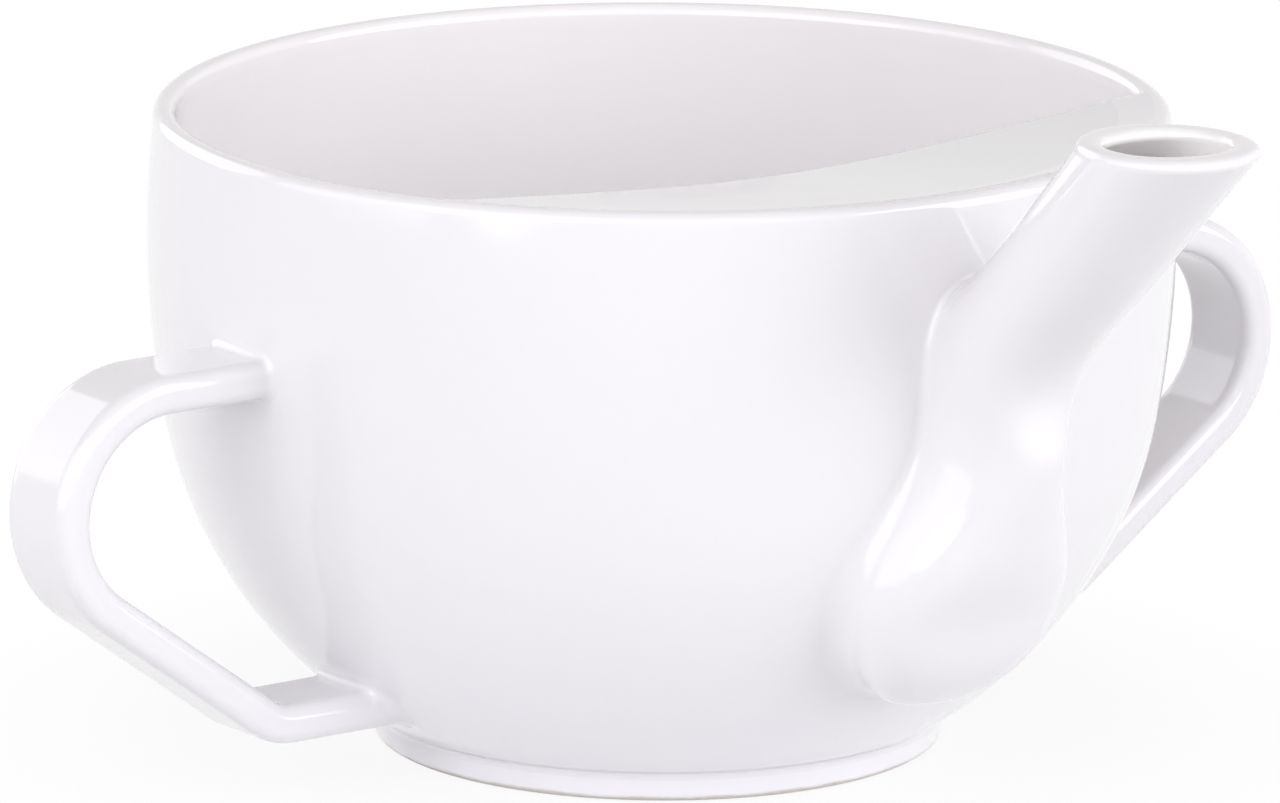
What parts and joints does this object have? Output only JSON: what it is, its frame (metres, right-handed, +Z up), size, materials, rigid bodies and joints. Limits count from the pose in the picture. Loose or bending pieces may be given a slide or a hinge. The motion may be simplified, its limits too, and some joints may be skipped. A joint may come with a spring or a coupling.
{
  "type": "invalid feeder",
  "caption": "Round porcelain feeding cup with a half cover over its mouth, a rising hollow spout in front and a strap handle on each side.",
  "frame": {"origin": "on the axis of the bowl, in the plane that the foot ring stands on", "axes": "+Z up along the bowl axis, +X through the right handle, -Y towards the spout mouth"},
  "size_m": [0.1472, 0.136, 0.0729],
  "materials": {
    "glaze": "gloss",
    "bare_clay": "matte"
  },
  "bodies": {
    "root": {"bowl": "glaze", "foot_ring": "bare_clay", "half_cover": "glaze", "spout": "glaze", "left_handle": "glaze", "right_handle": "glaze", "cover_slip": "glaze", "spout_slip": "glaze", "foot_slip": "glaze", "left_handle_upper_slip": "glaze", "left_handle_lower_slip": "glaze", "right_handle_upper_slip": "glaze", "right_handle_lower_slip": "glaze"}
  },
  "joints": []
}
